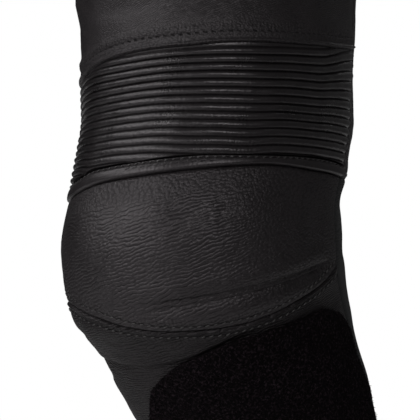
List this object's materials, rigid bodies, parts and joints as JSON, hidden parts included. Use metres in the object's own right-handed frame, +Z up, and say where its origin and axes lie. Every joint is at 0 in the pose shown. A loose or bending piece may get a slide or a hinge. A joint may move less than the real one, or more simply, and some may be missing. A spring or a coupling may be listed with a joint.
{
  "type": "motorcycle trousers",
  "caption": "Leather motorcycle trousers with pre-bent knees, ribbed stretch panels above the knee cups, hook-and-loop shin patches and a snapped waistband, filled out as worn.",
  "frame": {"origin": "middle of the waist opening, level with the waistband's top edge, where the wearer's waist holds the trousers up", "axes": "+Z up, from the hems to the waist; the wearer faces -Y and the wearer's left leg is at +X"},
  "size_m": [0.5374, 0.3175, 0.9785],
  "materials": {
    "leather": "black cowhide with a fine pebbled grain, satin",
    "rib_stretch": "black leather ribs sewn over a stretch backing, satin",
    "stretch_fabric": "black stretch fabric, matt",
    "loop_pile": "deep black loop pile, matt",
    "snap_metal": "dark enamelled cap, satin"
  },
  "bodies": {
    "root": {"waistband": "leather", "waist_tab": "leather", "snap": "snap_metal", "fly_placket": "leather", "left_thigh_front": "leather", "left_thigh_back": "leather", "left_accordion": "rib_stretch", "left_knee_band": "leather", "left_knee_cup": "leather", "left_shin_front": "leather", "left_loop_patch": "loop_pile", "left_calf_back": "stretch_fabric", "right_thigh_front": "leather", "right_thigh_back": "leather", "right_accordion": "rib_stretch", "right_knee_band": "leather", "right_knee_cup": "leather", "right_shin_front": "leather", "right_loop_patch": "loop_pile", "right_calf_back": "stretch_fabric"}
  },
  "joints": []
}
